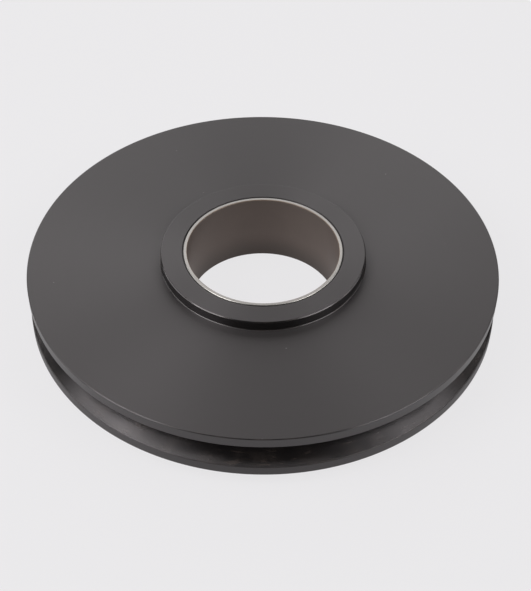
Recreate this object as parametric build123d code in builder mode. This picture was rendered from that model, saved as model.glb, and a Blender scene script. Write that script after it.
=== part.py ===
# Rope sheave turned from a cast plastic disc, with a thin-walled sliding bush pressed into its bore.
# Millimetres. +Z runs up the bore, and the sheave lies on the hub face that stands further out.
# The origin is on the bore axis, half way along the hub.
import os
from math import cos, isclose, radians, sin

from build123d import *

os.makedirs("parts", exist_ok=True)

# Disc: the web and the rim are one plate of even thickness
outer_diameter = 310.0
rim_width = 33.0
rim_edge_chamfer = 1.0

# Hub: a round boss that stands proud of both faces of the disc
hub_diameter = 135.0
upper_hub_stand = 7.0
lower_hub_stand = 10.0
hub_edge_chamfer = 0.6
hub_foot_cove = 0.8

# Rope groove: straight flanks that run into a round root, for a rope of 10 mm
groove_mouth = 19.0
groove_angle = 45.0
groove_root_radius = 5.5
groove_lip_chamfer = 0.7

# Sliding bush, as long as the hub
bore_diameter = 100.0
bush_wall = 2.5
bush_inner_chamfer = 0.5
bush_outer_chamfer = 0.3
seat_chamfer = 1.0

# Radii and heights that follow from the sizes above
rim_radius = outer_diameter / 2
hub_radius = hub_diameter / 2
bore_radius = bore_diameter / 2
seat_radius = bore_radius + bush_wall
hub_length = lower_hub_stand + rim_width + upper_hub_stand
hub_top = hub_length / 2
hub_bottom = -hub_length / 2
disc_top = hub_top - upper_hub_stand
disc_bottom = hub_bottom + lower_hub_stand

# Rope groove in section: where the root's circle touches both flanks
half_mouth = groove_mouth / 2
half_angle = radians(groove_angle / 2)
groove_height = (disc_top + disc_bottom) / 2
root_centre_depth = (half_mouth * cos(half_angle) - groove_root_radius) / sin(half_angle)
root_centre = rim_radius - root_centre_depth
root_bottom = root_centre - groove_root_radius
tangent_radius = root_centre - groove_root_radius * sin(half_angle)
tangent_offset = groove_root_radius * cos(half_angle)


def circles_at(part, radius, *heights):
    """Circular edges of one radius that lie at the given heights."""
    return [
        edge
        for edge in part.edges().filter_by(GeomType.CIRCLE)
        if isclose(edge.radius, radius, abs_tol=1e-4)
        and any(isclose(edge.arc_center.Z, height, abs_tol=1e-4) for height in heights)
    ]


# Sheave: disc, hub and rope groove are one turned solid
with BuildPart() as sheave:
    with BuildSketch(Plane.XZ) as turned_section:
        with BuildLine() as blank_outline:
            Polyline(
                (seat_radius, hub_bottom),
                (hub_radius, hub_bottom),
                (hub_radius, disc_bottom),
                (rim_radius, disc_bottom),
                (rim_radius, disc_top),
                (hub_radius, disc_top),
                (hub_radius, hub_top),
                (seat_radius, hub_top),
                close=True,
            )
        make_face()
        with BuildLine() as groove_outline:
            Line((rim_radius, groove_height + half_mouth), (tangent_radius, groove_height + tangent_offset))
            ThreePointArc(
                (tangent_radius, groove_height + tangent_offset),
                (root_bottom, groove_height),
                (tangent_radius, groove_height - tangent_offset),
            )
            Line((tangent_radius, groove_height - tangent_offset), (rim_radius, groove_height - half_mouth))
            Line((rim_radius, groove_height - half_mouth), (rim_radius, groove_height + half_mouth))
        make_face(mode=Mode.SUBTRACT)
    revolve(axis=Axis.Z)

    # Broken edges of the hub, the rim, the bush's seat and the groove's lips
    chamfer(circles_at(sheave, hub_radius, hub_top, hub_bottom), length=hub_edge_chamfer)
    chamfer(circles_at(sheave, rim_radius, disc_top, disc_bottom), length=rim_edge_chamfer)
    chamfer(circles_at(sheave, seat_radius, hub_top, hub_bottom), length=seat_chamfer)
    groove_lips = circles_at(sheave, rim_radius, groove_height + half_mouth, groove_height - half_mouth)
    chamfer(groove_lips, length=groove_lip_chamfer)

    # The small cove that the tool's nose leaves at the hub's foot on both faces
    chamfer(circles_at(sheave, hub_radius, disc_top, disc_bottom), length=hub_foot_cove)

sheave.part.label = "sheave"
export_step(sheave.part, "parts/sheave.step")

# Bush: a plain tube whose outside meets the sheave's seat and whose ends are flush with the hub
with BuildPart() as bush:
    with BuildSketch(Plane.XY.offset(hub_bottom)) as ring:
        Circle(seat_radius)
        Circle(bore_radius, mode=Mode.SUBTRACT)
    extrude(amount=hub_length)
    chamfer(circles_at(bush, bore_radius, hub_top, hub_bottom), length=bush_inner_chamfer)
    chamfer(circles_at(bush, seat_radius, hub_top, hub_bottom), length=bush_outer_chamfer)

bush.part.label = "bush"
export_step(bush.part, "parts/bush.step")
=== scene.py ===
from math import cos, hypot, isclose, pi, radians, sin

import bmesh
import bpy
from bpy.props import FloatProperty, FloatVectorProperty, IntProperty, PointerProperty
from bpy.types import Operator, Panel, PropertyGroup
from mathutils import Matrix, Vector


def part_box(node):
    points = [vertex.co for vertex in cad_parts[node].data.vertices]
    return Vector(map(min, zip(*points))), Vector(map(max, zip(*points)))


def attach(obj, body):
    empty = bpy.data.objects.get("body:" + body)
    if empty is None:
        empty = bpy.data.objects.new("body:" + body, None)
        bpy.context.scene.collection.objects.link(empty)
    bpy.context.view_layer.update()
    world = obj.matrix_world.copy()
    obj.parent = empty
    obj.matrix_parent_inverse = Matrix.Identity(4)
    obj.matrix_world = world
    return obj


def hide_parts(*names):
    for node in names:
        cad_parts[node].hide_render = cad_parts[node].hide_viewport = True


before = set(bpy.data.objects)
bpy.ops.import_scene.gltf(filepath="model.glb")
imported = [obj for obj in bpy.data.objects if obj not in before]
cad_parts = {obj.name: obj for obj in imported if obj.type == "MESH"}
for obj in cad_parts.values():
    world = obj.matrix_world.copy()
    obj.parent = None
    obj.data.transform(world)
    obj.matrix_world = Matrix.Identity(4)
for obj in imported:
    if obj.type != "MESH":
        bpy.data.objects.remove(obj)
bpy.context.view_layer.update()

bl_info = {
    "name": "Rope Pulley",
    "version": (1, 0, 0),
    "blender": (4, 5, 0),
    "location": "3D Viewport > Sidebar > Rope Pulley",
    "description": "Builds a turned rope sheave with its sliding bush, and a plain studio to show it in",
    "category": "Mesh",
}

# Blender works in metres. The pulley's axis is Z, and the origin is half way along the hub.
SHEAVE_LOW, SHEAVE_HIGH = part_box("sheave")
BUSH_LOW, BUSH_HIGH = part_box("bush")
MM = 0.001

# Two circles closer than this are one circle when edges are picked by their place
PICK_REACH = 0.02 * MM

# Corners closer than this are merged into one
MERGE_REACH = 0.001 * MM

# Edges that turn by more than the first angle get a tiny round, and by more than the second look sharp
ROUND_FROM, SHARP_FROM = radians(28), radians(40)

# Two faces at one height flicker, so the floor lies this far under the hub
FLOOR_GAP = 0.02 * MM

# How much of a surface's normal points along the axis, from 0 to 1: where walls and flanks give way to
# flat faces, where upright walls give way to the groove's flanks, and on chamfers and small rounds
WALL_TO_FACE = (0.94, 0.98)
UPRIGHT_TO_FLANK = (0.2, 0.5)
CHAMFER_SLOPE = 0.66

# Each soft panel's bearing from the camera's side to the right, elevation, distance, width and height. The
# studio has a brightness of the same name for it.
SOFTBOXES = {
    "left_side": (275, 42, 2.0, 1.0, 1.0),
    "left_low": (259, 17, 2.0, 1.3, 0.6),
    "left_front": (300, 42, 2.0, 1.0, 1.0),
    "left_high": (295, 62, 2.0, 1.0, 0.8),
    "right_front": (60, 42, 2.0, 1.0, 1.0),
    "right_side": (85, 42, 2.0, 1.0, 1.0),
    "right_low": (102, 20, 2.0, 1.1, 0.6),
    "back_low": (188, 13, 2.2, 3.4, 0.95),
    "back_high": (188, 38, 2.2, 2.6, 1.0),
    "overhead": (0, 90, 2.0, 1.2, 1.2),
}


class SheaveSizes(PropertyGroup):
    """Sizes of the turned sheave"""

    outer_diameter: FloatProperty(
        name="Outer Diameter",
        description="Across the rim",
        default=SHEAVE_HIGH.x - SHEAVE_LOW.x,
        unit="LENGTH",
    )
    hub_top: FloatProperty(
        name="Hub Top",
        description="Height of the upper hub face",
        default=SHEAVE_HIGH.z,
        unit="LENGTH",
    )
    hub_bottom: FloatProperty(
        name="Hub Bottom",
        description="Height of the lower hub face",
        default=SHEAVE_LOW.z,
        unit="LENGTH",
    )
    upper_hub_stand: FloatProperty(
        name="Upper Hub Stand",
        description="How far the hub stands out above the disc",
        default=7 * MM,
        unit="LENGTH",
    )
    lower_hub_stand: FloatProperty(
        name="Lower Hub Stand",
        description="How far the hub stands out below the disc",
        default=10 * MM,
        unit="LENGTH",
    )
    hub_diameter: FloatProperty(
        name="Hub Diameter",
        description="Across the round boss",
        default=135 * MM,
        unit="LENGTH",
    )
    hub_foot_fillet: FloatProperty(
        name="Hub Foot Fillet",
        description="Radius that the tool's nose leaves where the hub meets the disc",
        default=0.8 * MM,
        unit="LENGTH",
    )
    hub_edge_chamfer: FloatProperty(
        name="Hub Edge Chamfer",
        description="Width of the broken edge round both hub faces",
        default=0.6 * MM,
        unit="LENGTH",
    )
    rim_edge_chamfer: FloatProperty(
        name="Rim Edge Chamfer",
        description="Width of the broken edge round both sides of the rim",
        default=0.5 * MM,
        unit="LENGTH",
    )
    seat_chamfer: FloatProperty(
        name="Seat Chamfer",
        description="Width of the lead chamfer at both ends of the bush's seat",
        default=1 * MM,
        unit="LENGTH",
    )
    groove_mouth: FloatProperty(
        name="Groove Mouth",
        description="Width of the rope groove at the rim",
        default=19 * MM,
        unit="LENGTH",
    )
    groove_angle: FloatProperty(
        name="Groove Angle",
        description="Angle between the two flanks of the rope groove",
        default=radians(45),
        subtype="ANGLE",
    )
    groove_root_radius: FloatProperty(
        name="Groove Root Radius",
        description="Radius of the round root that the rope lies in",
        default=5.5 * MM,
        unit="LENGTH",
    )
    groove_lip_chamfer: FloatProperty(
        name="Groove Lip Chamfer",
        description="Width of the broken edge at both lips of the groove",
        default=0.3 * MM,
        unit="LENGTH",
    )
    edge_softness: FloatProperty(
        name="Edge Softness",
        description="Width of the tiny round left on every broken edge",
        default=0.12 * MM,
        unit="LENGTH",
    )
    steps_round: IntProperty(
        name="Steps Round",
        description="Straight steps that make each circle",
        default=256,
        min=32,
        max=512,
    )
    root_steps: IntProperty(
        name="Root Steps",
        description="Steps from each flank to the bottom of the groove's root",
        default=9,
        min=3,
        max=24,
    )


class BushSizes(PropertyGroup):
    """Sizes of the sliding bush"""

    outer_diameter: FloatProperty(
        name="Outer Diameter",
        description="Across the steel back, which the hub grips",
        default=BUSH_HIGH.x - BUSH_LOW.x,
        unit="LENGTH",
    )
    wall: FloatProperty(
        name="Wall",
        description="Thickness of the steel back and the sliding layer together",
        default=2.5 * MM,
        unit="LENGTH",
    )
    sliding_layer: FloatProperty(
        name="Sliding Layer",
        description="Thickness of the dull layer that shows as a thin ring at the bore's edge",
        default=0.19 * MM,
        precision=5,
        unit="LENGTH",
    )
    bronze_layer: FloatProperty(
        name="Bronze Layer",
        description="Thickness of the bronze between the sliding layer and the steel",
        default=0.3 * MM,
        precision=5,
        unit="LENGTH",
    )
    inner_chamfer: FloatProperty(
        name="Inner Chamfer",
        description="Broken edge at both ends of the bore",
        default=0.5 * MM,
        unit="LENGTH",
    )
    outer_chamfer: FloatProperty(
        name="Outer Chamfer",
        description="Broken edge at both ends of the steel back",
        default=0.3 * MM,
        unit="LENGTH",
    )
    edge_softness: FloatProperty(
        name="Edge Softness",
        description="Width of the tiny round left on every broken edge",
        default=0.08 * MM,
        unit="LENGTH",
    )


class Finishes(PropertyGroup):
    """Colours and surfaces of both pieces"""

    charcoal: FloatVectorProperty(
        name="Charcoal",
        description="Colour of the turned cast plastic",
        default=(0.0155, 0.0140, 0.0137),
        size=3,
        min=0,
        max=1,
        subtype="COLOR",
    )
    turned_steel: FloatVectorProperty(
        name="Turned Steel",
        description="Colour of the bush's faced end",
        default=(0.40, 0.380, 0.362),
        size=3,
        min=0,
        max=1,
        subtype="COLOR",
    )
    sintered_bronze: FloatVectorProperty(
        name="Sintered Bronze",
        description="Colour of the thin layer under the sliding surface",
        default=(0.20, 0.145, 0.105),
        size=3,
        min=0,
        max=1,
        subtype="COLOR",
    )
    sliding_layer: FloatVectorProperty(
        name="Sliding Layer",
        description="Colour of the dull lining inside the bore",
        default=(0.106, 0.081, 0.070),
        size=3,
        min=0,
        max=1,
        subtype="COLOR",
    )
    bright_edge: FloatVectorProperty(
        name="Bright Edge",
        description="Colour of the bush's bare steel edges",
        default=(0.46, 0.44, 0.42),
        size=3,
        min=0,
        max=1,
        subtype="COLOR",
    )
    dust: FloatVectorProperty(
        name="Dust",
        description="Colour of the small specks on the plastic",
        default=(0.24, 0.235, 0.23),
        size=3,
        min=0,
        max=1,
        subtype="COLOR",
    )
    rope_film: FloatVectorProperty(
        name="Rope Film",
        description="Colour of the thin brownish film in the groove",
        default=(0.060, 0.047, 0.041),
        size=3,
        min=0,
        max=1,
        subtype="COLOR",
    )
    rope_scuffs: FloatVectorProperty(
        name="Rope Scuffs",
        description="Colour of the short streaks along the groove",
        default=(0.075, 0.057, 0.048),
        size=3,
        min=0,
        max=1,
        subtype="COLOR",
    )
    rubbed_plastic: FloatVectorProperty(
        name="Rubbed Plastic",
        description="Colour of the dull rubbing on the rim's lands",
        default=(0.060, 0.056, 0.055),
        size=3,
        min=0,
        max=1,
        subtype="COLOR",
    )
    painted_gap_shade: FloatVectorProperty(
        name="Painted Gap Shade",
        description="Colour of the painted shade in the gap round the bush",
        default=(0.004, 0.0035, 0.0033),
        size=3,
        min=0,
        max=1,
        subtype="COLOR",
    )
    edge_wear: FloatProperty(
        name="Edge Wear",
        description="How much paler the plastic's broken edges are rubbed",
        default=0.6,
        min=0,
        max=1,
        subtype="FACTOR",
    )
    dust_cover: FloatProperty(
        name="Dust Cover",
        description="How much of the plastic each speck of dust hides",
        default=0.5,
        min=0,
        max=1,
        subtype="FACTOR",
    )
    film_cover: FloatProperty(
        name="Film Cover",
        description="How much of the plastic the film in the groove hides at most",
        default=0.22,
        min=0,
        max=1,
        subtype="FACTOR",
    )
    scuff_cover: FloatProperty(
        name="Scuff Cover",
        description="How much of the plastic the streaks along the groove hide at most",
        default=0.3,
        min=0,
        max=1,
        subtype="FACTOR",
    )
    lower_bore_shade: FloatProperty(
        name="Lower Bore Shade",
        description="How much painted shade darkens the sliding layer at the lower end",
        default=0.75,
        min=0,
        max=1,
        subtype="FACTOR",
    )
    face_roughness: FloatProperty(
        name="Face Roughness",
        description="Roughness of the faced surfaces, which the tool crosses with a coarser feed",
        default=0.4,
        min=0,
        max=1,
        subtype="FACTOR",
    )
    wall_roughness: FloatProperty(
        name="Wall Roughness",
        description="Roughness of the rim, the hub's wall and the groove, which are turned finer",
        default=0.22,
        min=0,
        max=1,
        subtype="FACTOR",
    )
    steel_roughness: FloatProperty(
        name="Steel Roughness",
        description="Roughness of the bush's faced end",
        default=0.3,
        min=0,
        max=1,
        subtype="FACTOR",
    )
    lining_roughness: FloatProperty(
        name="Lining Roughness",
        description="Roughness of the sliding layer",
        default=0.46,
        min=0,
        max=1,
        subtype="FACTOR",
    )
    gloss_stretch: FloatProperty(
        name="Gloss Stretch",
        description="How far the turning lines stretch the gloss across themselves",
        default=0.8,
        min=0,
        max=1,
        subtype="FACTOR",
    )
    line_pitch: FloatProperty(
        name="Turning Pitch",
        description="Distance between the fine lines that the turning tool leaves",
        default=0.32 * MM,
        precision=5,
        unit="LENGTH",
    )


class Studio(PropertyGroup):
    """Camera, floor and lights"""

    lens: FloatProperty(
        name="Lens",
        description="Focal length on a 36 mm sensor",
        default=78.03,
        unit="CAMERA",
    )
    distance: FloatProperty(
        name="Distance",
        description="From the camera to the plane through the pulley's middle",
        default=0.8601,
        unit="LENGTH",
    )
    elevation: FloatProperty(
        name="Elevation",
        description="How steeply the camera looks down",
        default=radians(44.4),
        subtype="ANGLE",
    )
    roll: FloatProperty(
        name="Roll",
        description="Turn of the camera about its own line of sight",
        default=radians(0.6),
        subtype="ANGLE",
    )
    aim_right: FloatProperty(
        name="Aim Right",
        description="How far the line of sight passes to the right of the pulley's middle",
        default=1.88 * MM,
        unit="LENGTH",
    )
    aim_up: FloatProperty(
        name="Aim Up",
        description="How far the line of sight passes above the pulley's middle",
        default=-12.55 * MM,
        unit="LENGTH",
    )
    floor_tone: FloatVectorProperty(
        name="Floor",
        description="Colour of the pale floor",
        default=(0.05, 0.049, 0.0505),
        size=3,
        min=0,
        max=1,
        subtype="COLOR",
    )
    floor_glow: FloatProperty(
        name="Floor Glow",
        description="Light that comes through the floor from below, which keeps its shadows faint",
        default=0.762,
    )
    floor_width: FloatProperty(
        name="Floor Width",
        description="Side of the square floor",
        default=40,
        unit="LENGTH",
    )
    backdrop: FloatProperty(
        name="Backdrop",
        description="Brightness of what is seen beyond the floor",
        default=0.8,
    )
    room_light: FloatProperty(
        name="Room Light",
        description="Strength of the even light from all round",
        default=0.03,
    )
    left_side: FloatProperty(
        name="Left Side",
        description="Brightness of the soft panel at the left",
        default=3.1,
    )
    left_low: FloatProperty(
        name="Left Low",
        description="Brightness of the soft panel that stands low at the left",
        default=2.5,
    )
    left_front: FloatProperty(
        name="Left Front",
        description="Brightness of the soft panel at the front left",
        default=5.6,
    )
    left_high: FloatProperty(
        name="Left High",
        description="Brightness of the soft panel above the one at the front left",
        default=1.6,
    )
    right_front: FloatProperty(
        name="Right Front",
        description="Brightness of the soft panel at the front right",
        default=4.2,
    )
    right_side: FloatProperty(
        name="Right Side",
        description="Brightness of the soft panel at the right",
        default=2.4,
    )
    right_low: FloatProperty(
        name="Right Low",
        description="Brightness of the soft panel that stands low at the right",
        default=1.9,
    )
    back_low: FloatProperty(
        name="Back Low",
        description="Brightness of the wide panel that stands behind the pulley",
        default=1.7,
    )
    back_high: FloatProperty(
        name="Back High",
        description="Brightness of the panel above the one behind the pulley",
        default=1.64,
    )
    overhead: FloatProperty(
        name="Overhead",
        description="Brightness of the soft panel overhead",
        default=1.0,
    )


class PulleySettings(PropertyGroup):
    """All settings that the sidebar's panel shows"""

    sheave: PointerProperty(type=SheaveSizes, name="Sheave", description="Sizes of the sheave")
    bush: PointerProperty(type=BushSizes, name="Bush", description="Sizes of the sliding bush")
    finishes: PointerProperty(type=Finishes, name="Finishes", description="Colours of the materials")
    studio: PointerProperty(type=Studio, name="Studio", description="Camera, floor and lights")


# Modelling by hand: a primitive, then edit mode


def add_blank(name, radius, low, high, steps_round):
    """Adds a cylinder between two heights, with its place in its mesh, and opens it in edit mode."""
    bpy.ops.object.select_all(action="DESELECT")
    bpy.ops.mesh.primitive_cylinder_add(
        vertices=steps_round,
        radius=radius,
        depth=high - low,
        end_fill_type="NGON",
        location=(0, 0, (low + high) / 2),
    )
    piece = bpy.context.active_object
    piece.name = name
    piece.data.name = name
    bpy.ops.object.transform_apply(location=True, rotation=True, scale=True)
    bpy.ops.object.mode_set(mode="EDIT")
    return piece


def pick_faces(piece, wanted):
    """Selects the faces for which wanted holds, and nothing else."""
    bpy.ops.mesh.select_mode(type="FACE")
    bpy.ops.mesh.select_all(action="DESELECT")
    cage = bmesh.from_edit_mesh(piece.data)
    for face in cage.faces:
        if wanted(face):
            face.select_set(True)
    bmesh.update_edit_mesh(piece.data)


def is_end(face):
    """Tells a round, many-sided end face from the four-sided faces of a wall."""
    return len(face.verts) > 4


def pick_end(piece, side):
    """Selects the end face that looks up (side 1) or down (side -1)."""
    pick_faces(piece, lambda face: is_end(face) and face.normal.z * side > 0)


def pick_circles(piece, radius, *heights):
    """Selects the edges that run round the axis at a radius, at each of the heights."""

    def on_circle(vertex):
        x, y, z = vertex.co
        near = isclose(hypot(x, y), radius, abs_tol=PICK_REACH)
        return near and any(isclose(z, height, abs_tol=PICK_REACH) for height in heights)

    bpy.ops.mesh.select_mode(type="EDGE")
    bpy.ops.mesh.select_all(action="DESELECT")
    cage = bmesh.from_edit_mesh(piece.data)
    for edge in cage.edges:
        flat = isclose(edge.verts[0].co.z, edge.verts[1].co.z, abs_tol=PICK_REACH)
        if flat and all(on_circle(vertex) for vertex in edge.verts):
            edge.select_set(True)
    bmesh.update_edit_mesh(piece.data)


def draw_out(rise):
    """Extrudes what is selected straight along the axis."""
    bpy.ops.mesh.extrude_region_move(TRANSFORM_OT_translate={"value": (0, 0, rise)})


def step_in(ratio, squeeze=1.0, height=0.0):
    """Extrudes what is selected, and brings the copy nearer to the axis and to a height."""
    bpy.ops.mesh.extrude_region_move(TRANSFORM_OT_translate={"value": (0, 0, 0)})
    bpy.ops.transform.resize(value=(ratio, ratio, squeeze), center_override=(0, 0, height))


def cut_bore(piece):
    """Joins the two end faces by a hole right through."""
    pick_faces(piece, is_end)
    bpy.ops.mesh.bridge_edge_loops()


def break_edges(piece, width, radius, *heights, rounds=1):
    """Bevels circles of edges: one flat chamfer, or a round of several steps."""
    pick_circles(piece, radius, *heights)
    bpy.ops.mesh.bevel(offset=width, segments=rounds, profile=0.5, affect="EDGES", offset_type="OFFSET")


def finish_piece(piece, softness, material):
    """Closes the modelling: outward faces, tiny rounds on all sharp edges, even shading."""
    bpy.ops.mesh.select_all(action="SELECT")
    bpy.ops.mesh.remove_doubles(threshold=MERGE_REACH)
    bpy.ops.mesh.normals_make_consistent(inside=False)
    bpy.ops.object.mode_set(mode="OBJECT")
    bpy.ops.object.shade_smooth_by_angle(angle=SHARP_FROM)
    bpy.ops.object.modifier_add(type="BEVEL")
    rounding = piece.modifiers[-1]
    rounding.width = softness
    rounding.segments = 2
    rounding.limit_method = "ANGLE"
    rounding.angle_limit = ROUND_FROM
    bpy.ops.object.modifier_apply(modifier=rounding.name)
    bpy.ops.object.shade_smooth_by_angle(angle=SHARP_FROM)
    bpy.ops.object.modifier_add(type="WEIGHTED_NORMAL")
    evening = piece.modifiers[-1]
    evening.keep_sharp = True
    bpy.ops.object.modifier_apply(modifier=evening.name)
    piece.data.materials.clear()
    piece.data.materials.append(material)


# Materials


def add_node(tree, kind, place, sockets=None, **settings):
    """Adds a shader node, with values for its sockets by name or number."""
    node = tree.nodes.new(kind)
    node.location = place
    for name, value in settings.items():
        setattr(node, name, value)
    for key, value in (sockets or {}).items():
        if isinstance(value, bpy.types.NodeSocket):
            tree.links.new(value, node.inputs[key])
        else:
            node.inputs[key].default_value = value
    return node


def calculate(tree, operation, place, *values, clamp=False):
    """Adds a Math node and gives its result."""
    return add_node(
        tree, "ShaderNodeMath", place, dict(enumerate(values)), operation=operation, use_clamp=clamp
    ).outputs[0]


def blend_colours(tree, place, factor, first, second):
    """Adds a colour Mix node and gives its result."""
    node = add_node(tree, "ShaderNodeMix", place, data_type="RGBA")
    for socket, value in ((node.inputs[0], factor), (node.inputs[6], first), (node.inputs[7], second)):
        if isinstance(value, bpy.types.NodeSocket):
            tree.links.new(value, socket)
        else:
            socket.default_value = value
    return node.outputs[2]


def remap(tree, place, value, old_range, new_range):
    """Adds a Map Range node with soft ends and gives its result."""
    return add_node(
        tree,
        "ShaderNodeMapRange",
        place,
        {0: value, 1: old_range[0], 2: old_range[1], 3: new_range[0], 4: new_range[1]},
        interpolation_type="SMOOTHSTEP",
    ).outputs[0]


def shade(colour, strength=1.0):
    """Gives a colour with full cover, made deeper or paler by a strength."""
    return (*[channel * strength for channel in colour], 1)


def lay_over(tree, place, colour, layers):
    """Covers a colour with others, one after the other, each by its own mask."""
    x, y = place
    for column, (mask, layer) in enumerate(layers):
        colour = blend_colours(tree, (x + 200 * column, y), mask, colour, layer)
    return colour


def add_up(tree, place, value, parts):
    """Adds masks to a value, one after the other, each times its own amount."""
    x, y = place
    for column, (mask, amount) in enumerate(parts):
        value = calculate(tree, "MULTIPLY_ADD", (x + 200 * column, y), mask, amount, value)
    return value


def along_axis(tree, place, vector):
    """Gives the part of a vector along the pulley's axis."""
    return add_node(tree, "ShaderNodeSeparateXYZ", place, {0: vector}).outputs[2]


def stretch(tree, place, vector, factors):
    """Multiplies a vector by a factor along each axis."""
    sockets = {0: vector, 1: factors}
    return add_node(tree, "ShaderNodeVectorMath", place, sockets, operation="MULTIPLY").outputs[0]


def radius_of(tree, place, position):
    """Gives the distance from the pulley's axis."""
    x, y = place
    flat = stretch(tree, place, position, (1, 1, 0))
    length = add_node(tree, "ShaderNodeVectorMath", (x + 200, y), {0: flat}, operation="LENGTH")
    return length.outputs["Value"]


def add_noise(tree, place, position, scale, detail=2.0, roughness=0.5):
    """Adds a Noise Texture and gives its value."""
    return add_node(
        tree,
        "ShaderNodeTexNoise",
        place,
        {"Vector": position, "Scale": scale, "Detail": detail, "Roughness": roughness},
    ).outputs[0]


def add_line_noise(tree, place, distance, roughness):
    """Adds a Noise Texture that changes along one distance only, and gives its value."""
    return add_node(
        tree,
        "ShaderNodeTexNoise",
        place,
        {"W": distance, "Scale": 1.0, "Detail": 2.0, "Roughness": roughness},
        noise_dimensions="1D",
    ).outputs[0]


def start_group(name, inputs, outputs):
    """Makes an empty shader node group with named inputs and outputs."""
    group = bpy.data.node_groups.new(name, "ShaderNodeTree")
    for socket_name, kind, value in inputs:
        socket = group.interface.new_socket(socket_name, in_out="INPUT", socket_type=kind)
        if value is not None:
            socket.default_value = value
    for socket_name, kind in outputs:
        group.interface.new_socket(socket_name, in_out="OUTPUT", socket_type=kind)
    given = add_node(group, "NodeGroupInput", (-900, 0)).outputs
    taken = add_node(group, "NodeGroupOutput", (900, 0)).inputs
    return group, given, taken


def turned_lines_group():
    """Lines round the axis, as a turning tool leaves them: by radius on flat faces, by height on walls.

    Height is the fine lines, and Bands are the broader ones that many fine lines make together.
    """
    group, given, taken = start_group(
        "Turned Lines",
        [
            ("Position", "NodeSocketVector", None),
            ("Pitch", "NodeSocketFloat", 0.3 * MM),
            ("Wander", "NodeSocketFloat", 0.05 * MM),
        ],
        [("Height", "NodeSocketFloat"), ("Bands", "NodeSocketFloat")],
    )
    radius = radius_of(group, (-700, 200), given["Position"])
    height = along_axis(group, (-700, 0), given["Position"])
    path = calculate(group, "ADD", (-340, 150), radius, height)
    drift = add_noise(group, (-700, -200), given["Position"], scale=14.0, detail=1.0)
    shift = calculate(group, "MULTIPLY", (-340, -150), drift, given["Wander"])
    line = calculate(group, "ADD", (-160, 50), path, shift)
    count = calculate(group, "DIVIDE", (20, 50), line, given["Pitch"])
    fine = add_line_noise(group, (220, 150), count, roughness=0.6)
    bands_per_line = 0.06
    broad_count = calculate(group, "MULTIPLY", (220, -150), count, bands_per_line)
    broad = add_line_noise(group, (420, -150), broad_count, roughness=0.55)
    group.links.new(fine, taken["Height"])
    group.links.new(broad, taken["Bands"])
    return group


def fine_grain_group():
    """Close grain of the surface, and slow clouds of tone over it."""
    group, given, taken = start_group(
        "Fine Grain",
        [
            ("Position", "NodeSocketVector", None),
            ("Grain Scale", "NodeSocketFloat", 1500.0),
            ("Cloud Scale", "NodeSocketFloat", 20.0),
        ],
        [("Grain", "NodeSocketFloat"), ("Clouds", "NodeSocketFloat")],
    )
    position = given["Position"]
    grain = add_noise(group, (-200, 150), position, given["Grain Scale"], detail=3.0, roughness=0.6)
    clouds = add_noise(group, (-200, -150), position, given["Cloud Scale"], detail=3.0)
    group.links.new(grain, taken["Grain"])
    group.links.new(clouds, taken["Clouds"])
    return group


def specks_group():
    """Scattered small specks of dust and pores. Share is how many of the cells hold one."""
    group, given, taken = start_group(
        "Specks",
        [
            ("Position", "NodeSocketVector", None),
            ("Cell Scale", "NodeSocketFloat", 160.0),
            ("Size", "NodeSocketFloat", 0.06),
            ("Share", "NodeSocketFloat", 0.3),
        ],
        [("Mask", "NodeSocketFloat")],
    )
    cells = add_node(
        group,
        "ShaderNodeTexVoronoi",
        (-400, 0),
        {"Vector": given["Position"], "Scale": given["Cell Scale"], "Randomness": 1.0},
    ).outputs
    chance = add_node(group, "ShaderNodeSeparateColor", (-200, -150), {0: cells["Color"]}).outputs[0]
    chosen = calculate(group, "LESS_THAN", (0, -150), chance, given["Share"])
    spread = calculate(group, "MULTIPLY", (0, -320), chance, given["Size"])
    reach = calculate(group, "DIVIDE", (180, -320), spread, given["Share"])
    near = calculate(group, "LESS_THAN", (360, 0), cells["Distance"], reach)
    mask = calculate(group, "MULTIPLY", (540, 0), near, chosen)
    group.links.new(mask, taken["Mask"])
    return group


def broken_edges_group():
    """Mask of the chamfers and small rounds, which lie between flat faces and upright walls."""
    group, given, taken = start_group(
        "Broken Edges",
        [
            ("Position", "NodeSocketVector", None),
            ("Normal", "NodeSocketVector", None),
            ("Patchiness", "NodeSocketFloat", 0.4),
        ],
        [("Mask", "NodeSocketFloat")],
    )
    slope = calculate(group, "ABSOLUTE", (-520, 0), along_axis(group, (-700, 0), given["Normal"]))
    off = calculate(group, "SUBTRACT", (-340, 0), slope, CHAMFER_SLOPE)
    distance = calculate(group, "ABSOLUTE", (-160, 0), off)
    edge = remap(group, (20, 0), distance, (0.12, 0.2), (1.0, 0.0))
    patches = add_noise(group, (-160, -250), given["Position"], scale=90.0)
    cover = remap(group, (40, -250), patches, (0.35, 0.65), (0.0, 1.0))
    missing = calculate(group, "MULTIPLY", (220, -250), cover, given["Patchiness"])
    kept = calculate(group, "SUBTRACT", (400, -250), 1.0, missing)
    mask = calculate(group, "MULTIPLY", (580, 0), edge, kept, clamp=True)
    group.links.new(mask, taken["Mask"])
    return group


def place_group(tree, group, place, sockets):
    """Puts a node group in a material with its own values."""
    return add_node(tree, "ShaderNodeGroup", place, sockets, node_tree=group).outputs


def start_material(name):
    """Makes a material with a Principled shader and gives what most finishes read."""
    material = bpy.data.materials.new(name)
    material.use_nodes = True
    tree = material.node_tree
    tree.nodes.clear()
    output = add_node(tree, "ShaderNodeOutputMaterial", (1400, 0))
    shader = add_node(tree, "ShaderNodeBsdfPrincipled", (1100, 0))
    tree.links.new(shader.outputs[0], output.inputs[0])
    position = add_node(tree, "ShaderNodeTexCoord", (-1400, 0)).outputs["Object"]
    normal = add_node(tree, "ShaderNodeNewGeometry", (-1400, -300)).outputs["Normal"]
    return material, tree, shader, position, normal


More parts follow.
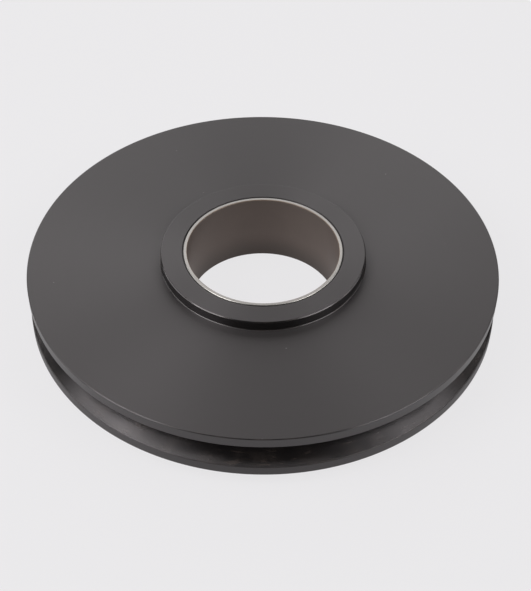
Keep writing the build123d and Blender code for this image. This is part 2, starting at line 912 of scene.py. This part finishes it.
def turn_the_gloss(tree, shader, position, anisotropy):
    """Stretches the gloss across the turning lines."""
    round_the_axis = add_node(
        tree, "ShaderNodeVectorMath", (800, -500), {0: (0, 0, 1), 1: position}, operation="CROSS_PRODUCT"
    ).outputs[0]
    tree.links.new(round_the_axis, shader.inputs["Tangent"])
    shader.inputs["Anisotropic"].default_value = anisotropy
    shader.inputs["Anisotropic Rotation"].default_value = 0.25


def raise_relief(tree, shader, lines, grain, grain_share, strength, rise):
    """Raises the turning lines and the grain a little."""
    relief = calculate(tree, "MULTIPLY_ADD", (200, -450), grain["Grain"], grain_share, lines["Height"])
    sockets = {"Height": relief, "Strength": strength, "Distance": rise}
    bump = add_node(tree, "ShaderNodeBump", (600, -450), sockets)
    tree.links.new(bump.outputs[0], shader.inputs["Normal"])


def charcoal_plastic(finishes, seat_reach, rim_radius, groove_height, groups):
    """Turned cast plastic, and what the rope and dirt leave on it.

    Satin charcoal with faint bands and lines round the axis, with painted shade deepening the upright walls
    and the groove, and paler on the broken edges. The groove's flanks carry a brownish film and streaks,
    the rim's lands are rubbed dull, the lower one most, and painted shade darkens the gap round the bush.
    """
    material, tree, shader, position, normal = start_material("turned_charcoal_plastic")
    lines = place_group(
        tree, groups["lines"], (-1000, 300),
        {"Position": position, "Pitch": finishes.line_pitch, "Wander": 0.4 * MM},
    )
    grain = place_group(
        tree, groups["grain"], (-1000, 0),
        {"Position": position, "Grain Scale": 1800.0, "Cloud Scale": 16.0},
    )
    specks = place_group(
        tree, groups["specks"], (-1000, -300),
        {"Position": position, "Cell Scale": 140.0, "Size": 0.07, "Share": 0.12},
    )
    edges = place_group(
        tree, groups["edges"], (-1000, -600),
        {"Position": position, "Normal": normal, "Patchiness": 0.35},
    )
    stains = place_group(
        tree, groups["grain"], (-1000, -900),
        {"Position": position, "Cloud Scale": 90.0},
    )

    # Which part of the sheave it is
    radius = radius_of(tree, (-1000, -1150), position)
    height = along_axis(tree, (-1000, -1700), position)
    facing = calculate(tree, "ABSOLUTE", (-400, -350), along_axis(tree, (-600, -350), normal))
    wall = remap(tree, (-200, -600), facing, WALL_TO_FACE, (1.0, 0.0))
    sloping = remap(tree, (-200, -800), facing, UPRIGHT_TO_FLANK, (0.0, 1.0))
    flank = calculate(tree, "MULTIPLY", (0, -600), wall, sloping)
    land_edge = (rim_radius - 0.8 * MM, rim_radius - 0.3 * MM)
    land = remap(tree, (-600, -1600), radius, land_edge, (0.0, 1.0))
    # Mask of the gap round the bush, which gets painted shade
    crevice_edge = (seat_reach - 0.1 * MM, seat_reach + 0.05 * MM)
    crevice = remap(tree, (-600, -1150), radius, crevice_edge, (1.0, 0.0))

    # How much of it is covered
    worn = calculate(tree, "MULTIPLY", (-400, -100), edges["Mask"], finishes.edge_wear)
    dusty = calculate(tree, "MULTIPLY", (-200, -100), specks["Mask"], finishes.dust_cover)
    patches = remap(tree, (0, -800), stains["Clouds"], (0.4, 0.7), (0.0, finishes.film_cover))
    film = calculate(tree, "MULTIPLY", (200, -600), flank, patches)
    times_longer = 16
    drawn_out = stretch(tree, (-1200, -1400), position, (1, 1, times_longer))
    threads = add_noise(tree, (-1000, -1400), drawn_out, scale=90.0)
    streaks = remap(tree, (-800, -1400), threads, (0.58, 0.72), (0.0, finishes.scuff_cover))
    scuffs = calculate(tree, "MULTIPLY", (-600, -1400), flank, streaks)
    lower_to_upper_land = (groove_height - 6 * MM, groove_height + 6 * MM)
    dullness = remap(tree, (-600, -1800), height, lower_to_upper_land, (0.19, 0.08))
    rubbed = calculate(tree, "MULTIPLY", (-400, -1600), land, dullness)

    deeper, paler = shade(finishes.charcoal, 0.92), shade(finishes.charcoal, 1.08)
    clouded = blend_colours(tree, (-600, 200), grain["Clouds"], deeper, paler)
    colour = lay_over(tree, (-400, 200), clouded, (
        (lines["Bands"], shade(finishes.charcoal)),
        (worn, shade(finishes.charcoal, 1.75)),
        (dusty, shade(finishes.dust)),
        # Painted shade: upright walls, lands and groove get a deeper copy of the charcoal, by the way they
        # face
        (wall, shade(finishes.charcoal, 0.45)),
        (film, shade(finishes.rope_film)),
        (scuffs, shade(finishes.rope_scuffs)),
        (rubbed, shade(finishes.rubbed_plastic)),
        # Painted shade: the gap round the bush is laid near black, where shade falls
        (crevice, shade(finishes.painted_gap_shade)),
    ))
    tree.links.new(colour, shader.inputs["Base Color"])

    wall_to_face_roughness = (finishes.wall_roughness, finishes.face_roughness)
    turned = remap(tree, (-200, -350), facing, WALL_TO_FACE, wall_to_face_roughness)
    roughness = add_up(tree, (0, -200), turned, (
        (lines["Bands"], 0.02),
        (grain["Grain"], 0.03),
        (edges["Mask"], -0.04),
        (film, 0.1),
        (crevice, 0.45),
        (rubbed, 1.0),
    ))
    tree.links.new(roughness, shader.inputs["Roughness"])

    raise_relief(tree, shader, lines, grain, grain_share=0.35, strength=0.6, rise=0.012 * MM)
    turn_the_gloss(tree, shader, position, finishes.gloss_stretch)
    shader.inputs["IOR"].default_value = 1.65
    shader.inputs["Specular Tint"].default_value = (1.0, 0.935, 0.96, 1)
    return material


def bush_metal(finishes, bush, low, groups):
    """Faced steel end, a thin bronze line at the bore's edge, and the dull sliding layer inside.

    Painted shade darkens the sliding layer towards the lower end.
    """
    material, tree, shader, position, normal = start_material("sliding_bush")
    lines = place_group(
        tree, groups["lines"], (-1000, 300),
        {"Position": position, "Pitch": 0.22 * MM, "Wander": 0.2 * MM},
    )
    grain = place_group(
        tree, groups["grain"], (-1000, 0),
        {"Position": position, "Grain Scale": 2200.0, "Cloud Scale": 45.0},
    )
    specks = place_group(
        tree, groups["specks"], (-1000, -300),
        {"Position": position, "Cell Scale": 260.0, "Size": 0.1, "Share": 0.2},
    )
    edges = place_group(
        tree, groups["edges"], (-1000, -600),
        {"Position": position, "Normal": normal, "Patchiness": 0.3},
    )

    # Which layer of the wall it is, with a soft seam between two layers
    seam = 0.03 * MM
    bronze_from = bush.outer_diameter / 2 - bush.wall + bush.sliding_layer
    steel_from = bronze_from + bush.bronze_layer
    radius = radius_of(tree, (-1200, 600), position)
    past_lining = remap(tree, (-800, 600), radius, (bronze_from - seam, bronze_from + seam), (0.0, 1.0))
    past_bronze = remap(tree, (-800, 800), radius, (steel_from - seam, steel_from + seam), (0.0, 1.0))

    # How much of it is covered
    height = along_axis(tree, (-1200, -900), position)
    lower_shade_height = 22 * MM
    # Painted shade: the sliding layer is darkened towards the lower end of the bore
    lower_shade = remap(tree, (-1000, -900), height, (low, low + lower_shade_height), (finishes.lower_bore_shade, 0.0))
    flecks = calculate(tree, "MULTIPLY", (-600, -100), specks["Mask"], 0.35)
    bare_edges = calculate(tree, "MULTIPLY", (0, 100), edges["Mask"], past_bronze)

    deeper, paler = shade(finishes.turned_steel, 0.72), shade(finishes.turned_steel)
    steel = blend_colours(tree, (-600, 400), grain["Clouds"], deeper, paler)
    deeper, paler = shade(finishes.sliding_layer, 0.86), shade(finishes.sliding_layer, 1.16)
    lining = blend_colours(tree, (-600, 100), grain["Clouds"], deeper, paler)
    colour = lay_over(tree, (-400, 100), lining, (
        # painted shade towards the lower end of the bore
        (lower_shade, shade(finishes.sliding_layer, 0.35)),
        (flecks, shade(finishes.sintered_bronze)),
        (past_lining, shade(finishes.sintered_bronze)),
        (past_bronze, steel),
        (bare_edges, shade(finishes.bright_edge)),
    ))
    tree.links.new(colour, shader.inputs["Base Color"])
    metallic = remap(tree, (400, 0), past_bronze, (0.0, 1.0), (0.25, 1.0))
    tree.links.new(metallic, shader.inputs["Metallic"])
    layer_roughness = remap(
        tree, (0, -200), past_bronze, (0.0, 1.0), (finishes.lining_roughness, finishes.steel_roughness)
    )
    roughness = add_up(tree, (200, -200), layer_roughness, ((grain["Clouds"], 0.1),))
    tree.links.new(roughness, shader.inputs["Roughness"])

    raise_relief(tree, shader, lines, grain, grain_share=0.4, strength=0.5, rise=0.01 * MM)
    turn_the_gloss(tree, shader, position, anisotropy=0.6)
    shader.inputs["Specular IOR Level"].default_value = 0.42
    return material


def surface_groups():
    """The effects that both finishes use, each made once."""
    return {
        "lines": bpy.data.node_groups.get("Turned Lines") or turned_lines_group(),
        "grain": bpy.data.node_groups.get("Fine Grain") or fine_grain_group(),
        "specks": bpy.data.node_groups.get("Specks") or specks_group(),
        "edges": bpy.data.node_groups.get("Broken Edges") or broken_edges_group(),
    }


# Pieces


class MESH_OT_add_rope_sheave(Operator):
    """Add the sheave: a disc with a rope groove round its rim and a hub that stands out on both sides"""

    bl_idname = "mesh.add_rope_sheave"
    bl_label = "Rope Sheave"
    bl_options = {"REGISTER", "UNDO"}

    def execute(self, context):
        settings = context.scene.rope_pulley
        sizes = settings.sheave
        rim_radius = sizes.outer_diameter / 2
        hub_radius = sizes.hub_diameter / 2
        seat_radius = settings.bush.outer_diameter / 2
        disc_top = sizes.hub_top - sizes.upper_hub_stand
        disc_bottom = sizes.hub_bottom + sizes.lower_hub_stand
        middle = (disc_top + disc_bottom) / 2
        half_mouth = sizes.groove_mouth / 2
        half_angle = sizes.groove_angle / 2

        # The blank is the band between the groove's lips, and both lands grow from its ends
        piece = add_blank(
            "sheave_turned", rim_radius, middle - half_mouth, middle + half_mouth, sizes.steps_round
        )
        sides = ((1, disc_top, sizes.hub_top), (-1, disc_bottom, sizes.hub_bottom))
        for side, disc_face, hub_face in sides:
            pick_end(piece, side)
            draw_out(disc_face - middle - side * half_mouth)
            step_in(hub_radius / rim_radius)
            draw_out(hub_face - disc_face)
            step_in(seat_radius / hub_radius)
        cut_bore(piece)

        # Rope groove: the flanks come in until they touch the root's circle, which is then stepped round
        root_radius = sizes.groove_root_radius
        root_centre = rim_radius - (half_mouth * cos(half_angle) - root_radius) / sin(half_angle)
        section = [(rim_radius, half_mouth)]
        for step in range(sizes.root_steps + 1):
            turn = (pi / 2 - half_angle) * (1 - step / (sizes.root_steps + 0.5))
            section.append((root_centre - root_radius * cos(turn), root_radius * sin(turn)))

        def is_between_lips(face):
            x, y, z = face.calc_center_median()
            return hypot(x, y) > hub_radius and abs(z - middle) < half_mouth / 2

        pick_faces(piece, is_between_lips)
        for (radius, half_width), (next_radius, next_half_width) in zip(section, section[1:]):
            step_in(next_radius / radius, next_half_width / half_width, middle)

        # Broken edges
        lips = (middle + half_mouth, middle - half_mouth)
        break_edges(piece, sizes.hub_foot_fillet, hub_radius, disc_top, disc_bottom, rounds=5)
        break_edges(piece, sizes.hub_edge_chamfer, hub_radius, sizes.hub_top, sizes.hub_bottom)
        break_edges(piece, sizes.rim_edge_chamfer, rim_radius, disc_top, disc_bottom)
        break_edges(piece, sizes.seat_chamfer, seat_radius, sizes.hub_top, sizes.hub_bottom)
        break_edges(piece, sizes.groove_lip_chamfer, rim_radius, *lips)
        seat_reach = seat_radius + sizes.seat_chamfer
        material = charcoal_plastic(settings.finishes, seat_reach, rim_radius, middle, surface_groups())
        finish_piece(piece, sizes.edge_softness, material)

        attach(piece, "root")
        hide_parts("sheave")
        return {"FINISHED"}


class MESH_OT_add_sliding_bush(Operator):
    """Add the bush: a thin steel-backed tube with a sliding layer, flush with both hub faces"""

    bl_idname = "mesh.add_sliding_bush"
    bl_label = "Sliding Bush"
    bl_options = {"REGISTER", "UNDO"}

    def execute(self, context):
        settings = context.scene.rope_pulley
        sizes = settings.bush
        low = settings.sheave.hub_bottom
        high = settings.sheave.hub_top
        outer_radius = sizes.outer_diameter / 2
        bore_radius = outer_radius - sizes.wall

        piece = add_blank("bush_sleeve", outer_radius, low, high, settings.sheave.steps_round)
        for side in (1, -1):
            pick_end(piece, side)
            step_in(bore_radius / outer_radius)
        cut_bore(piece)
        break_edges(piece, sizes.inner_chamfer, bore_radius, low, high)
        break_edges(piece, sizes.outer_chamfer, outer_radius, low, high)
        material = bush_metal(settings.finishes, sizes, low, surface_groups())
        finish_piece(piece, sizes.edge_softness, material)

        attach(piece, "root")
        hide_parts("bush")
        return {"FINISHED"}


# Stage


def add_softbox(name, bearing, elevation, distance, width, height, brightness):
    """Adds a soft panel that looks at the origin and is itself out of sight."""
    turn, tilt = radians(bearing), radians(elevation)
    place = distance * Vector((sin(turn) * cos(tilt), -cos(turn) * cos(tilt), sin(tilt)))
    bpy.ops.object.light_add(type="AREA", location=place)
    light = bpy.context.active_object
    light.name = name
    light.data.shape = "RECTANGLE"
    light.data.size = width
    light.data.size_y = height
    light.data.energy = brightness * pi * width * height
    light.rotation_euler = (-place).to_track_quat("-Z", "Y").to_euler()
    light.visible_camera = False


def room_and_backdrop(studio):
    """Even room light, with a pale backdrop beyond the floor that adds no light of its own."""
    world = bpy.data.worlds.new("room")
    world.use_nodes = True
    tree = world.node_tree
    tree.nodes.clear()
    room = add_node(tree, "ShaderNodeBackground", (0, 100), {"Strength": studio.room_light})
    backdrop = add_node(tree, "ShaderNodeBackground", (0, -100), {"Strength": studio.backdrop})
    for shader in (room, backdrop):
        shader.inputs["Color"].default_value = (1.0, 0.99, 1.0, 1)
    seen = add_node(tree, "ShaderNodeLightPath", (0, 400)).outputs["Is Camera Ray"]
    sockets = {0: seen, 1: room.outputs[0], 2: backdrop.outputs[0]}
    choice = add_node(tree, "ShaderNodeMixShader", (250, 0), sockets)
    add_node(tree, "ShaderNodeOutputWorld", (450, 0), {0: choice.outputs[0]})
    return world


def pale_floor(tone, glow):
    """Matt pale board with a faint unevenness, lit a little from below."""
    material = bpy.data.materials.new("pale_floor")
    material.use_nodes = True
    tree = material.node_tree
    shader = tree.nodes["Principled BSDF"]
    position = add_node(tree, "ShaderNodeTexCoord", (-800, 0)).outputs["Object"]
    clouds = add_noise(tree, (-600, 0), position, 3.0)
    uneven = blend_colours(tree, (-300, 0), clouds, shade(tone, 0.995), shade(tone))
    tree.links.new(uneven, shader.inputs["Base Color"])
    shader.inputs["Roughness"].default_value = 0.9
    shader.inputs["Specular IOR Level"].default_value = 0.1
    shader.inputs["Emission Color"].default_value = (0.995, 0.985, 1.0, 1)
    shader.inputs["Emission Strength"].default_value = glow
    return material


class SCENE_OT_set_pulley_studio(Operator):
    """Set up the pale floor, the soft lights and the camera"""

    bl_idname = "scene.set_pulley_studio"
    bl_label = "Studio"
    bl_options = {"REGISTER", "UNDO"}

    def execute(self, context):
        settings = context.scene.rope_pulley
        studio = settings.studio
        bpy.ops.object.select_all(action="DESELECT")
        floor_height = settings.sheave.hub_bottom - FLOOR_GAP
        bpy.ops.mesh.primitive_plane_add(size=studio.floor_width, location=(0, 0, floor_height))
        floor = context.active_object
        floor.name = "studio_floor"
        floor.data.materials.append(pale_floor(studio.floor_tone, studio.floor_glow))

        context.scene.world = room_and_backdrop(studio)
        for name, (bearing, elevation, distance, width, height) in SOFTBOXES.items():
            brightness = getattr(studio, name)
            add_softbox(name + "_softbox", bearing, elevation, distance, width, height, brightness)

        back = Vector((0, -cos(studio.elevation), sin(studio.elevation)))
        up = Vector((0, sin(studio.elevation), cos(studio.elevation)))
        right = Vector((1, 0, 0))
        place = studio.distance * back + studio.aim_right * right + studio.aim_up * up
        bpy.ops.object.camera_add(location=place)
        camera = context.active_object
        camera.name = "studio_camera"
        turned = Matrix.Rotation(studio.roll, 3, "Z")
        camera.rotation_euler = (Matrix((right, up, back)).transposed() @ turned).to_euler()
        camera.data.sensor_width = 36
        camera.data.lens = studio.lens
        camera.data.clip_start = 0.05
        camera.data.clip_end = 50
        context.scene.camera = camera

        context.scene.view_settings.view_transform = "Standard"
        context.scene.view_settings.look = "None"
        return {"FINISHED"}


class VIEW3D_PT_rope_pulley(Panel):
    """Sizes, finishes and buttons of the rope pulley"""

    bl_idname = "VIEW3D_PT_rope_pulley"
    bl_label = "Rope Pulley"
    bl_space_type = "VIEW_3D"
    bl_region_type = "UI"
    bl_category = "Rope Pulley"

    def draw(self, context):
        settings = context.scene.rope_pulley
        for title, group, operator in (
            ("Sheave", settings.sheave, MESH_OT_add_rope_sheave),
            ("Bush", settings.bush, MESH_OT_add_sliding_bush),
            ("Finishes", settings.finishes, None),
            ("Studio", settings.studio, SCENE_OT_set_pulley_studio),
        ):
            box = self.layout.box()
            box.label(text=title)
            for name in group.bl_rna.properties.keys():
                if name not in {"rna_type", "name"}:
                    box.prop(group, name)
            if operator:
                box.operator(operator.bl_idname)


CLASSES = (
    SheaveSizes,
    BushSizes,
    Finishes,
    Studio,
    PulleySettings,
    MESH_OT_add_rope_sheave,
    MESH_OT_add_sliding_bush,
    SCENE_OT_set_pulley_studio,
    VIEW3D_PT_rope_pulley,
)


def register():
    """Adds the classes to Blender, and the settings to its scenes."""
    for cls in CLASSES:
        bpy.utils.register_class(cls)
    bpy.types.Scene.rope_pulley = PointerProperty(type=PulleySettings)


def unregister():
    """Takes out what register added."""
    del bpy.types.Scene.rope_pulley
    for cls in reversed(CLASSES):
        bpy.utils.unregister_class(cls)


def main():
    """Builds both pieces and the studio."""
    register()
    bpy.ops.mesh.add_rope_sheave()
    bpy.ops.mesh.add_sliding_bush()
    bpy.ops.scene.set_pulley_studio()


if __name__ == "__main__":
    main()
